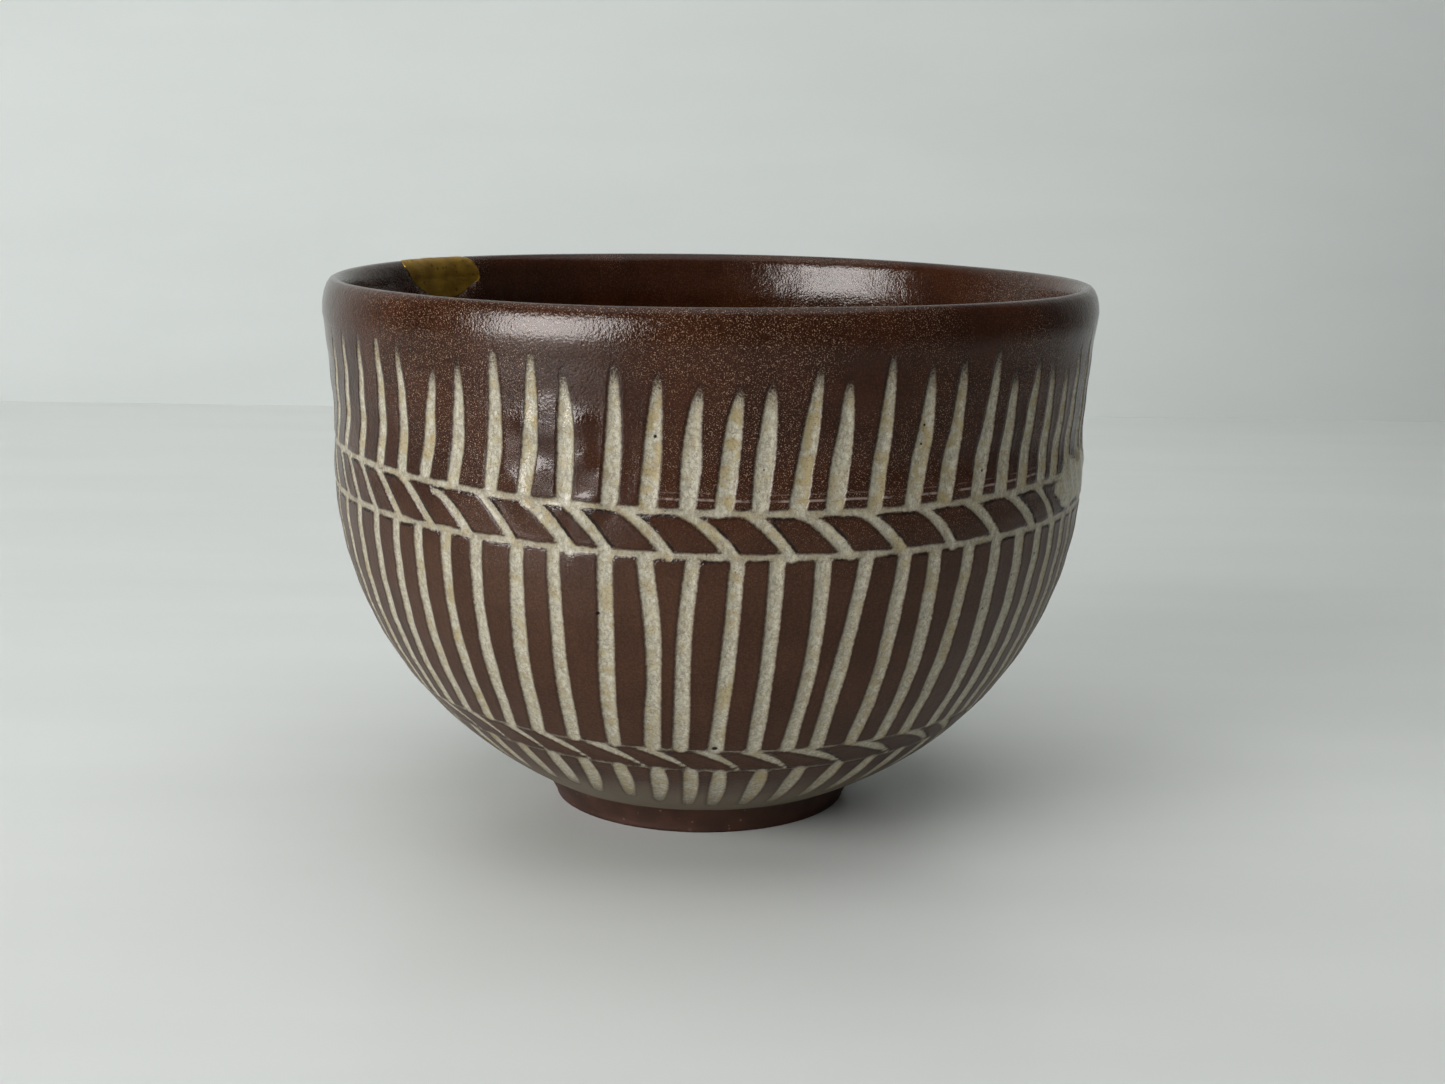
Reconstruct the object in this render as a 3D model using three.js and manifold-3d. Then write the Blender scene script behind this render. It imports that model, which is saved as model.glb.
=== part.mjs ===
// A thrown stoneware tea bowl with a broken-out place in its rim, filled with gold lacquer.
// Millimetres, +Z up. The foot stands on z = 0 and the bowl is turned about the Z axis.
// The front of the bowl faces -Y, so the mend lies at the back left.

import * as THREE from 'three';
import { mergeVertices } from 'three/addons/utils/BufferGeometryUtils.js';
import Module from 'manifold-3d';

// Overall form
const bowlHeight = 81.2;
const bellyRadius = 57.4; // outer radius where the wall stands upright
const bellyHeight = 53.2; // height at which the wall stands upright
const lipFlare = 1.4; // how far the lip stands out past the belly

// Wall and floor
const bellyWall = 4.2;
const lipWall = 3.6;
const lipRoll = 3.2; // height of the lip's rounded top
const floorWall = 4.8;

// Turned foot ring
const footRadius = 23.6;
const footHeight = 4;
const footWidth = 4.6;
const footFlare = 1.5; // the ring widens this much from its base to the bowl
const footRecess = 3;
const recessSlope = 1.2; // the recess narrows this much towards its ceiling
const footChamfer = 0.5;

// Broken-out place in the rim, a shell-shaped scoop struck from the inside
const chipTurn = THREE.MathUtils.degToRad(123.8); // from the front, clockwise seen from above
const chipHalfWidth = 10.1;
const chipDepth = 5.9;
const chipReach = 3.5; // how far the scoop goes outwards from its middle
const chipSink = 0.6; // its middle lies this far below the rim
const chipSetIn = 0.7; // and this far inside the lip's inner face
const chipLean = THREE.MathUtils.degToRad(25); // its end nearer the front lies higher
const lacquerGap = 0.3; // clearance between the lacquer and the clay all round

// Shape of the curves, and how finely they are stepped
const insideFullness = 2.3; // 2 is an ellipse, more is a fuller curve
const flarePower = 2.6; // the wall leans out late, close to the lip
const stepsAround = 72;
const bellySteps = 13;
const flareSteps = 6;
const lipSteps = 8;

// Sizes that follow from those above
const lipHeight = bowlHeight - lipRoll;
const lipRadius = bellyRadius + lipFlare;
const innerLipRadius = lipRadius - lipWall;
const innerBellyRadius = bellyRadius - bellyWall;
const footTopRadius = footRadius + footFlare;
const recessRadius = footRadius - footWidth;
const floorHeight = footRecess + floorWall;

const wasm = await Module();
wasm.setup();

// A quarter of a full curve from the axis (t = 0) out to the belly (t = 1).
function bowlCurve(radius, depth, fullness, t) {
  const angle = t * Math.PI / 2;
  const power = 2 / fullness;
  const r = radius * Math.sin(angle) ** power;
  const z = bellyHeight - depth * Math.max(Math.cos(angle), 0) ** power;
  return new THREE.Vector2(r, z);
}

// The wall between the belly (t = 0) and the lip (t = 1), leaning out as a power of its height.
function flareCurve(fromRadius, toRadius, t) {
  const r = fromRadius + (toRadius - fromRadius) * t ** flarePower;
  const z = bellyHeight + (lipHeight - bellyHeight) * t;
  return new THREE.Vector2(r, z);
}

function footPoints() {
  return [
    new THREE.Vector2(0, footRecess),
    new THREE.Vector2(recessRadius - recessSlope, footRecess),
    new THREE.Vector2(recessRadius, footChamfer),
    new THREE.Vector2(recessRadius + footChamfer, 0),
    new THREE.Vector2(footRadius - footChamfer, 0),
    new THREE.Vector2(footRadius, footChamfer),
  ];
}

// The outside starts where the belly's ellipse has the foot's top radius.
function outsidePoints() {
  const startAngle = Math.asin(footTopRadius / bellyRadius);
  const depth = (bellyHeight - footHeight) / Math.cos(startAngle);
  const start = startAngle / (Math.PI / 2);
  const points = [];
  for (let i = 0; i < bellySteps; i++) {
    const t = start + (1 - start) * i / bellySteps;
    points.push(bowlCurve(bellyRadius, depth, 2, t));
  }
  for (let i = 0; i < flareSteps; i++) {
    points.push(flareCurve(bellyRadius, lipRadius, i / flareSteps));
  }
  return points;
}

// Half an ellipse over the top of the wall, from the outside to the inside.
function lipPoints() {
  const middle = (lipRadius + innerLipRadius) / 2;
  const points = [];
  for (let i = 0; i < lipSteps; i++) {
    const angle = Math.PI * i / lipSteps;
    const r = middle + lipWall / 2 * Math.cos(angle);
    points.push(new THREE.Vector2(r, lipHeight + lipRoll * Math.sin(angle)));
  }
  return points;
}

function insidePoints() {
  const points = [];
  for (let i = 0; i < flareSteps; i++) {
    points.push(flareCurve(innerBellyRadius, innerLipRadius, 1 - i / flareSteps));
  }
  for (let i = 0; i < bellySteps; i++) {
    const t = 1 - i / bellySteps;
    points.push(bowlCurve(innerBellyRadius, bellyHeight - floorHeight, insideFullness, t));
  }
  points.push(new THREE.Vector2(0, floorHeight));
  return points;
}

// Turns the section about the Z axis.
function turnedBowl() {
  const section = [...footPoints(), ...outsidePoints(), ...lipPoints(), ...insidePoints()];
  const geometry = new THREE.LatheGeometry(section, stepsAround);
  geometry.rotateX(Math.PI / 2);
  return geometry;
}

// The scoop is a leaning ellipsoid centred near the rim, smaller by the inset on every side.
function chipScoop(inset) {
  const geometry = new THREE.SphereGeometry(1, 32, 20);
  geometry.scale(chipHalfWidth - inset, chipReach - inset, chipDepth - inset);
  geometry.rotateY(-chipLean);
  geometry.translate(0, -(innerLipRadius - chipSetIn), bowlHeight - chipSink);
  geometry.rotateZ(-chipTurn);
  return geometry;
}

function toSolid(geometry) {
  const bare = geometry.clone();
  bare.deleteAttribute('normal');
  bare.deleteAttribute('uv');
  const merged = mergeVertices(bare);
  const corners = merged.index.array;
  const triangles = [];
  for (let i = 0; i < corners.length; i += 3) {
    const [a, b, c] = corners.slice(i, i + 3);
    if (a !== b && b !== c && c !== a) {
      triangles.push(a, b, c);
    }
  }
  const vertProperties = new Float32Array(merged.attributes.position.array);
  const triVerts = new Uint32Array(triangles);
  return new wasm.Manifold(new wasm.Mesh({ numProp: 3, vertProperties, triVerts }));
}

function toGeometry(solid) {
  const mesh = solid.getMesh();
  const geometry = new THREE.BufferGeometry();
  geometry.setAttribute('position', new THREE.BufferAttribute(mesh.vertProperties, 3));
  geometry.setIndex(new THREE.BufferAttribute(mesh.triVerts, 1));
  geometry.computeVertexNormals();
  return geometry;
}

const glazeMaterial = new THREE.MeshStandardMaterial({ color: 0x4a2a1e, roughness: 0.3, metalness: 0 });
const goldMaterial = new THREE.MeshStandardMaterial({ color: 0xa8832c, roughness: 0.5, metalness: 0.6 });

const wholeBowl = toSolid(turnedBowl());

const bowlBody = new THREE.Mesh(toGeometry(wholeBowl.subtract(toSolid(chipScoop(0)))), glazeMaterial);
bowlBody.name = 'bowl_body';

const lacquerSolid = wholeBowl.intersect(toSolid(chipScoop(lacquerGap)));
const goldLacquerFill = new THREE.Mesh(toGeometry(lacquerSolid), goldMaterial);
goldLacquerFill.name = 'gold_lacquer_fill';

const bowl = new THREE.Group();
bowl.add(bowlBody, goldLacquerFill);

export default bowl;
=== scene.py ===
import bpy
import numpy as np
from mathutils import Matrix, Vector


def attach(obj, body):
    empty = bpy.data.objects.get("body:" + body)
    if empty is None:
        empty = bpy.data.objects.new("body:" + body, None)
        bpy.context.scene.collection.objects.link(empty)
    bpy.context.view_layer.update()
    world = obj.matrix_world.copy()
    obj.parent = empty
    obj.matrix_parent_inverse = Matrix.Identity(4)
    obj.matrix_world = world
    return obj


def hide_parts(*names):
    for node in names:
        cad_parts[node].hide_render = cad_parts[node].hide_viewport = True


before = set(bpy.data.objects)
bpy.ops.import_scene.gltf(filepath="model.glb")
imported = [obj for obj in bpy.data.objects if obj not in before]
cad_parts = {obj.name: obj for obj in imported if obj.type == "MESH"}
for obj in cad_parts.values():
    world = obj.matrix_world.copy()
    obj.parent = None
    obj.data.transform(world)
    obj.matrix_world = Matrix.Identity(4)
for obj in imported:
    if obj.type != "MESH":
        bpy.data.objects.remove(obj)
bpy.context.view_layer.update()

print("frame loaded, nodes:", ", ".join(sorted(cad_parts)))

# A thrown tea bowl with slip strokes under brown glaze, and a broken place in its rim
# filled with gold lacquer. Sizes are in millimetres, and azimuths in degrees round from
# the front (-Y) towards +X.
metre = 1000.0
chance = np.random.default_rng(41)

# the bowl's section, as it was turned
bowl = {
    "height": 81.2,
    "bellyRadius": 57.4,
    "bellyHeight": 53.2,
    "lipFlare": 1.4,
    "bellyWall": 4.2,
    "lipWall": 3.6,
    "lipRoll": 3.2,
    "outerRoll": 4.4,      # outside, the lip's rounding reaches further down,
    "rollSway": 0.9,       # by this much more on the side of rollTurn and less opposite
    "rollTurn": -50.0,
    "floorWall": 4.8,
    "footRadius": 22.9,
    "footHeight": 4.0,
    "footWidth": 4.4,
    "footFlare": 2.2,
    "footRecess": 3.0,
    "recessSlope": 1.2,
    "footRound": 0.5,
    "insideFullness": 2.3,
    "flarePower": 2.6,
    "neckPinch": 0.22,
    "neckHeight": 60.7,
    "neckSpread": 4.5,
    "ovalness": 0.12,      # the rim is this much wider towards +X
    "ringDepth": 0.05,     # throwing rings
    "ringPitch": 6.3,
    "ringHeights": (9.0, 17.0, 75.0, 79.0),   # they grow between the first two and fade between the others
    "lobes": 0.07,         # the rim's three slight corners
    "rimWaver": 0.12,
    "waverHeights": (61.0, 81.0),   # it grows from the first to the second
    "footShift": (-0.7, -0.6),   # the foot was turned a little off the centre
    "shiftFade": 9.0,
    "footLean": 0.9,             # and its base stands this much further forwards
    "grooveDepth": 0.7,          # a finger's groove inside, under the lip
    "grooveHeight": 70.6,
    "grooveSpread": 3.0,
    "columns": 840,
    "lipRows": 10,
    "flareRows": 12,
    "flareSpacing": 1.8,   # rows are closer together near the lip
    "insideRows": 12,
    "chipRows": 8,         # the break reaches down at most this many rows of the wall
}
lipHeight = bowl["height"] - bowl["lipRoll"]
innerLip = bowl["bellyRadius"] + bowl["lipFlare"] - bowl["lipWall"]
innerBelly = bowl["bellyRadius"] - bowl["bellyWall"]
floorHeight = bowl["footRecess"] + bowl["floorWall"]


def fraction(value, low, high):
    # how far the value has come from low to high, kept between 0 and 1
    return np.clip((value - low) / (high - low), 0, 1)


def smoothStep(share):
    # 3 s^2 - 2 s^3, which is level at both ends
    return share ** 2 * (3 - 2 * share)


def bell(value, centre, spread):
    # exp(-((value - centre) / spread) ^ 2)
    return np.exp(-((value - centre) / spread) ** 2)


def around(r, z, turn):
    # places at radius r and height z, turned round the axis from the front towards +X
    return np.stack([r * np.sin(turn), -r * np.cos(turn), z], -1)


def wallTop(azimuth):
    # where the lip's rounding starts outside: a cosine of the azimuth, lower on one side
    sway = bowl["rollSway"] * np.cos(np.radians(azimuth - bowl["rollTurn"]))
    return bowl["height"] - bowl["outerRoll"] - sway


def outsideRadius(z, top=lipHeight):
    # up to the belly an ellipse, above it the belly's radius plus a power of the height, less a slight neck
    footTop = bowl["footRadius"] + bowl["footFlare"]
    depth = (bowl["bellyHeight"] - bowl["footHeight"]) / np.cos(np.arcsin(footTop / bowl["bellyRadius"]))
    below = bowl["bellyRadius"] * np.sqrt(np.clip(1 - ((bowl["bellyHeight"] - z) / depth) ** 2, 0, 1))
    share = fraction(z, bowl["bellyHeight"], top)
    above = bowl["bellyRadius"] + bowl["lipFlare"] * share ** bowl["flarePower"]
    neck = bowl["neckPinch"] * bell(z, bowl["neckHeight"], bowl["neckSpread"])
    return np.where(z < bowl["bellyHeight"], below, above) - neck


def lipSection(steps, azimuth):
    # half an ellipse over the top of the wall, from the outside to the inside, taller on its outer half
    angle = np.linspace(0, np.pi, steps + 1)[:, None]
    roll = np.where(angle < np.pi / 2, bowl["height"] - wallTop(azimuth), bowl["lipRoll"])
    r = innerLip + bowl["lipWall"] / 2 * (1 + np.cos(angle))
    return r * np.ones_like(roll), bowl["height"] - roll * (1 - np.sin(angle))


def insideSection(flareSteps, bowlSteps):
    # down to the belly a power of the height and a bell for the groove, then a fuller curve than an ellipse
    share = 1 - np.linspace(0, 1, flareSteps + 1)[1:] ** bowl["flareSpacing"]
    flareR = innerBelly + (innerLip - innerBelly) * share ** bowl["flarePower"]
    flareZ = bowl["bellyHeight"] + (lipHeight - bowl["bellyHeight"]) * share
    flareR = flareR + bowl["grooveDepth"] * bell(flareZ, bowl["grooveHeight"], bowl["grooveSpread"])
    angle = np.linspace(np.pi / 2, 0, bowlSteps + 1)[1:]
    power = 2 / bowl["insideFullness"]
    bowlR = innerBelly * np.sin(angle) ** power
    bowlZ = bowl["bellyHeight"] - (bowl["bellyHeight"] - floorHeight) * np.cos(angle) ** power
    return np.append(flareR, bowlR), np.append(flareZ, bowlZ)


def footSection():
    # from the axis across the recess, down its slope, over the ring's rounded face and up its slant
    inner = bowl["footRadius"] - bowl["footWidth"]
    slopeTop = inner - bowl["recessSlope"]
    small = bowl["footRound"]
    outer = bowl["footRadius"]
    top = bowl["footRecess"]
    r = [0, slopeTop * 0.35, slopeTop * 0.7, slopeTop - small, slopeTop + 0.1, inner, inner + 0.2 * small,
         inner + small, (inner + outer) / 2, outer - small, outer - 0.15 * small]
    z = [top, top, top, top, top - 0.15, small, 0.15 * small, 0, 0, 0, 0.15 * small]
    slant = np.array([0, 0.3, 0.62, 0.93])
    r = np.append(r, outer + bowl["footFlare"] * slant)
    return r, np.append(z, small + (bowl["footHeight"] - small) * slant)


# the carved bands, drawn by hand, so they dip towards the front right and run level behind
bands = {
    "dipAzimuth": 20.0,
    "dipSpread": 57.3,
    "shoulderTop": (57.95, 3.25),     # height at the back, and how far it dips
    "shoulderBottom": (51.25, 2.25),
    "ankleTop": (21.8, 2.8),
    "ankleBottom": (18.1, 2.85),
    "shoulderLine": 0.45,             # half of a line's thickness
    "ankleLine": 0.27,
    "margin": 1.2,                    # the mesh stays fine this far past each line
}


def turned(azimuth, other):
    # difference between two azimuths, from -180 to 180
    return (azimuth - other + 180) % 360 - 180


def bandHeight(name, azimuth):
    # the height at the back less a bell-shaped dip round dipAzimuth
    back, dip = bands[name]
    return back - dip * np.exp(-(turned(azimuth, bands["dipAzimuth"]) / bands["dipSpread"]) ** 2 / 2)


def outsideRows(azimuth):
    # heights of the wall's rows for each azimuth, closer together and parallel to the lines at the bands
    margin = bands["margin"]
    full = np.ones_like(azimuth)
    stations = [
        (bowl["footHeight"] * full, 8),
        (bandHeight("ankleBottom", azimuth) - margin, 12),
        (bandHeight("ankleTop", azimuth) + margin, 15),
        (bandHeight("shoulderBottom", azimuth) - margin, 18),
        (bandHeight("shoulderTop", azimuth) + margin, 14),
        (wallTop(azimuth), 0),
    ]
    rows = []
    for (low, steps), (high, _) in zip(stations, stations[1:]):
        share = np.arange(steps)[:, None] / steps
        rows.append(low + (high - low) * share)
    return np.vstack(rows)


# Strokes, as they were carved: azimuths and heights of the ones that show, and an even
# rhythm with small slips of the hand for the rest.
upperStrokes = {  # azimuth at the base, halfway and at the tip, the tip's height, and how ochre it is
    "seen": [
        (-72.6, -69.3, -67.7, 74.2, 0.3), (-66.1, -63.3, -62.1, 75.7, 0.3),
        (-58.9, -57.3, -56.3, 75.2, 0.3), (-52.7, -51.2, -51.1, 76.7, 0.3),
        (-47.0, -46.0, -46.2, 74.7, 0.4), (-41.9, -40.1, -39.0, 71.7, 0.6),
        (-36.4, -34.9, -34.5, 73.2, 0.2), (-30.0, -28.9, -28.6, 76.2, 0.3),
        (-24.8, -23.5, -23.0, 76.2, 0.5), (-19.0, -18.6, -18.7, 72.7, 0.2),
        (-12.8, -12.1, -12.0, 73.7, 0.3), (-7.7, -6.9, -6.4, 72.7, 0.7),
        (-2.6, -1.9, -1.2, 71.2, 0.2), (2.1, 3.2, 4.0, 71.2, 0.9), (6.7, 7.6, 7.9, 71.7, 0.2),
        (11.7, 13.2, 14.1, 73.9, 0.9), (16.6, 17.8, 17.9, 72.2, 0.3), (22.2, 23.4, 23.8, 75.7, 0.5),
        (27.9, 29.6, 29.8, 73.7, 0.7), (33.1, 34.7, 35.0, 74.2, 0.8), (38.9, 40.6, 41.3, 75.2, 0.4),
        (43.8, 45.1, 45.2, 71.7, 0.2), (48.6, 50.0, 50.7, 73.2, 0.5), (54.0, 55.1, 54.7, 72.2, 0.5),
        (58.0, 60.0, 59.9, 70.7, 0.4), (63.3, 64.8, 64.9, 74.7, 0.3),
    ],
    "spacing": 5.44,
    "halfWidth": 1.2,
    "low": 61.7,           # heights at which the stroke is still about as wide as at its base
    "middle": 66.2,
}
middleStrokes = {  # azimuths at the heights given below
    "seen": [
        (-66.4, -66.7, -67.2, -67.5, -67.9), (-60.3, -61.2, -62.0, -62.4, -62.8),
        (-54.3, -55.3, -56.4, -57.1, -57.8), (-48.8, -49.9, -51.3, -52.2, -52.9),
        (-43.6, -44.5, -45.5, -46.4, -47.5), (-38.0, -38.9, -39.7, -40.5, -41.7),
        (-32.6, -33.4, -34.2, -35.0, -36.4), (-26.0, -26.9, -28.0, -28.9, -30.4),
        (-20.6, -20.9, -21.6, -22.3, -23.3), (-13.4, -13.7, -14.5, -15.2, -15.8),
        (-8.1, -7.3, -7.5, -8.3, -9.0), (-1.9, -2.9, -3.35, -3.65, -4.2),
        (3.9, 3.4, 2.85, 2.35, 1.9), (9.1, 8.9, 8.7, 8.55, 8.5), (15.3, 15.2, 15.0, 14.65, 14.6),
        (21.3, 20.2, 19.6, 19.5, 19.95), (27.1, 26.5, 26.5, 26.5, 26.7),
        (32.0, 32.0, 32.3, 32.5, 32.9), (38.1, 37.6, 37.7, 37.9, 38.6),
        (43.6, 43.7, 44.6, 45.2, 45.8), (49.1, 49.6, 49.8, 50.2, 51.1),
        (54.4, 54.4, 54.8, 55.4, 56.2), (59.1, 59.5, 60.2, 60.8, 61.6),
        (63.7, 64.1, 64.9, 65.6, 66.4), (68.3, 68.8, 69.6, 70.3, 71.2),
    ],
    "heights": (48.2, 39.2, 31.2, 25.2, 20.2),
    "spacing": 5.9,
    "halfWidth": 1.08,
}
# azimuths where each leaf leaves the top line and meets the bottom line, half its width, and
# how far below the top line it starts
shoulderLeaves = {
    "seen": [
        (-71.0, -64.5, 0.52, 0), (-65.8, -59.5, 0.54, 0), (-60.5, -54.0, 0.56, 0),
        (-55.0, -47.5, 0.58, 0), (-48.5, -40.5, 0.6, 0), (-40.4, -33.6, 0.66, 1.1),
        (-33.0, -26.5, 0.64, 0), (-25.0, -18.3, 1.0, 0.3), (-19.5, -13.0, 0.78, 0),
        (-12.0, -5.0, 0.8, 0), (-4.0, 3.5, 0.78, 0), (4.5, 11.0, 0.8, 0), (11.2, 19.0, 0.78, 0),
        (19.5, 26.7, 0.8, 0), (28.5, 35.0, 0.76, 0), (36.5, 43.5, 0.78, 0), (44.5, 52.5, 0.74, 0),
        (52.0, 58.5, 0.7, 0),
    ],
    "spacing": 7.5,
    "halfWidth": 0.72,
    "profile": (0.62, 0.88, 1.0, 1.08, 1.0),
    "curl": 1.6,  # a leaf starts flat and ends steep
}
ankleLeaves = {
    "seen": [
        (-58.0, -49.0, 0.55, 0), (-47.5, -41.0, 0.58, 0), (-38.5, -31.5, 0.6, 0),
        (-31.0, -22.0, 0.62, 0), (-21.4, -11.0, 0.66, 0), (-12.0, -2.5, 0.66, 0),
        (-1.5, 7.0, 0.64, 0), (6.5, 16.5, 0.66, 0), (15.0, 28.0, 0.7, 0), (27.0, 40.0, 0.7, 0),
        (39.5, 51.0, 0.6, 0),
    ],
    "spacing": 9.6,
    "halfWidth": 0.62,
    "profile": (0.65, 1.05, 1.0, 0.65, 0.25),
    "curl": 1.5,
}
lowerStrokes = {  # azimuth at the top, azimuth at the tip, and the tip's height
    "seen": [
        (-53.0, -54.5, 8.6), (-46.5, -48.6, 8.6), (-38.5, -40.2, 8.1), (-31.1, -33.5, 8.1),
        (-24.1, -28.3, 7.1), (-16.8, -18.8, 7.4), (-9.2, -11.8, 6.3), (-2.7, -4.0, 5.9),
        (3.0, 2.7, 5.7), (11.3, 11.4, 5.7), (19.0, 19.4, 5.8), (27.4, 27.6, 6.2), (35.4, 35.6, 6.6),
        (43.5, 44.5, 6.9),
    ],
    "spacing": 7.9,
    "halfWidth": 1.22,
}


def allRound(family, makeOne):
    # the strokes that show, and behind them new ones at an even spacing, each from its own azimuth
    seen = family["seen"]
    gap = seen[0][0] + 360 - seen[-1][0]
    count = round(gap / family["spacing"])
    places = seen[-1][0] + gap * np.arange(1, count) / count
    return list(seen) + [makeOne(place + chance.uniform(-0.5, 0.5)) for place in places]


# on the left the strokes are thinner by this share, from one azimuth to the other
slimming = {"from": -20.0, "to": -45.0, "share": 0.15}
noSlip = -9.0       # the distance into the slip, in mm, where none is near
strokeReach = 4     # degrees and mm past its line that a stroke can change


def slimmer(azimuth):
    # a smooth step down in width
    share = fraction(turned(azimuth, 0), slimming["from"], slimming["to"])
    return 1 - slimming["share"] * smoothStep(share)


def smoothLine(points, steps):
    # a curve through the points: each coordinate is a Catmull-Rom cubic of the place along the line
    points = np.array(points, float)
    padded = np.vstack([2 * points[0] - points[1], points, 2 * points[-1] - points[-2]])
    place = np.linspace(0, len(points) - 1, steps + 1)
    index = np.minimum(place.astype(int), len(points) - 2)
    t = (place - index)[:, None]
    a, b, c, d = (padded[index + k] for k in range(4))
    bend = (2 * a - 5 * b + 4 * c - d) * t ** 2 + (3 * b - a - 3 * c + d) * t ** 3
    return 0.5 * (2 * b + (c - a) * t + bend)


class Drawing:
    # the slip drawing on the outside wall, kept on the wall's own grid of rows and columns
    def __init__(self, azimuth, height):
        self.azimuth = azimuth
        self.height = height
        self.radius = outsideRadius(height)
        self.edge = np.full(height.shape, noSlip)   # distance into the slip from its edge, in mm
        self.tone = np.zeros(height.shape)          # from cream to ochre
        self.cover = np.ones(height.shape)          # how much of the slip is left
        self.creviceShade = np.zeros(height.shape)       # which edges get a line of painted shade, as if in a crevice's shadow
        self.levels = np.linspace(0, bowl["height"], 400)
        slope = np.gradient(outsideRadius(np.maximum(self.levels, bowl["footHeight"])), self.levels)
        pieces = np.sqrt(1 + slope[1:] ** 2) * np.diff(self.levels)
        self.lengths = np.concatenate([[0], np.cumsum(pieces)])
        self.along = self.alongWall(height)

    def alongWall(self, height):
        # the length of the wall's curve from the bottom up to the height
        return np.interp(height, self.levels, self.lengths)

    def lay(self, part, inward, tone, cover, creviceShade):
        # new slip replaces what is there wherever it reaches further in
        better = inward > self.edge[part]
        layers = (self.edge, self.tone, self.cover, self.creviceShade)
        for layer, value in zip(layers, (inward, tone, cover, creviceShade)):
            layer[part] = np.where(better, value, layer[part])

    def stroke(self, points, halfWidths, tone, covers, creviceShading=0.0, steps=10):
        # the width less the distance to the nearest of the line's short straight stretches
        line = smoothLine([(a, z, w, c) for (a, z), w, c in zip(points, halfWidths, covers)], steps)
        span = np.ptp(line[:, 0]) / 2 + strokeReach
        columns = np.flatnonzero(np.abs(turned(self.azimuth, line[:, 0].mean())) < span)
        low, high = line[:, 1].min() - strokeReach, line[:, 1].max() + strokeReach
        rows = np.flatnonzero((self.height.max(1) > low) & (self.height.min(1) < high))
        part = np.ix_(rows, columns)
        perDegree = np.radians(1) * self.radius[part]
        line[:, 1] = self.alongWall(line[:, 1])
        best = np.full((len(rows), len(columns)), noSlip)
        cover = np.ones(best.shape)
        side = np.zeros(best.shape)
        for here, then in zip(line, line[1:]):
            x = turned(self.azimuth[columns][None, :], here[0]) * perDegree
            y = self.along[part] - here[1]
            dx, dy = (then[0] - here[0]) * perDegree, then[1] - here[1]
            t = np.clip((x * dx + y * dy) / (dx ** 2 + dy ** 2 + 1e-9), 0, 1)
            inward = here[2] + (then[2] - here[2]) * t - np.hypot(x - dx * t, y - dy * t)
            better = inward > best
            best = np.where(better, inward, best)
            cover = np.where(better, here[3] + (then[3] - here[3]) * t, cover)
            side = np.where(better, np.sign(dx * y - dy * x), side)
        # painted shade goes on one side of the stroke only
        self.lay(part, best, tone, cover, creviceShading * (side > 0))

    def ring(self, height, halfWidth, tone, creviceShading):
        # a line right round: its half thickness, a little uneven, less the distance from it
        turn = np.radians(self.azimuth)
        thickness = halfWidth * (1 + 0.14 * np.sin(37 * turn + 1) + 0.1 * np.sin(83 * turn))
        inward = thickness - np.abs(self.along - self.alongWall(height))
        # painted shade goes below the line only
        self.lay(..., inward, tone, 1, creviceShading * (self.height < height))


def drawUpper(drawing):
    # from a blunt base on the top line up to a thin tip that fades out
    def one(a):
        lean = chance.uniform(0.3, 2.2)
        tip = a + lean + chance.uniform(-0.3, 0.8)
        return a, a + lean, tip, chance.uniform(71.2, 76.2), chance.uniform(0.2, 0.8)
    width, low, half = (upperStrokes[name] for name in ("halfWidth", "low", "middle"))
    for base, middle, tip, tipHeight, ochre in allRound(upperStrokes, one):
        foot = bandHeight("shoulderTop", base) + 0.85 * width
        points = [(base, foot), (base + 0.62 * (middle - base), low), (middle, half),
                  (middle + 0.6 * (tip - middle), half + 0.6 * (tipHeight - half)), (tip, tipHeight)]
        widths = np.array([1.0, 1.0, 0.83, 0.6, 0.25]) * chance.uniform(0.9, 1.1, 5)
        widths = width * slimmer(base) * widths
        drawing.stroke(points, widths, ochre, (1, 1, 0.97, 0.65, 0), creviceShading=0.25, steps=12)


def drawMiddle(drawing):
    # wavering strokes of one width between the two bands
    def one(a):
        return (a, *(a + np.cumsum(chance.uniform(-0.5, 0.5, 4))))
    for azimuths in allRound(middleStrokes, one):
        heights = list(middleStrokes["heights"])
        heights[0] = bandHeight("shoulderBottom", azimuths[0]) - 0.9
        heights[-1] = bandHeight("ankleTop", azimuths[-1]) + 0.6
        widths = middleStrokes["halfWidth"] * slimmer(azimuths[0]) * chance.uniform(0.88, 1.1, 5)
        drawing.stroke(list(zip(azimuths, heights)), widths, chance.uniform(0, 0.45), (1,) * 5, steps=16)


def drawLeaves(drawing, family, top, bottom, ochre, creviceShading):
    # from the top line down to the bottom line: the drop is the share of the azimuth to a power
    def one(a):
        return a, a + family["spacing"] * chance.uniform(0.88, 1.0), family["halfWidth"], 0
    for start, end, halfWidth, below in allRound(family, one):
        share = np.array([0.03, 0.28, 0.56, 0.8, 1.0])
        azimuths = start + (end - start) * share
        high, low = bandHeight(top, azimuths), bandHeight(bottom, azimuths)
        heights = high - below * (1 - share) + (low - high) * share ** family["curl"]
        widths = halfWidth * np.array(family["profile"]) * chance.uniform(0.88, 1.1, 5)
        tone = chance.uniform(0, ochre)
        drawing.stroke(list(zip(azimuths, heights)), widths, tone, (1,) * 5, creviceShading, steps=12)


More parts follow.
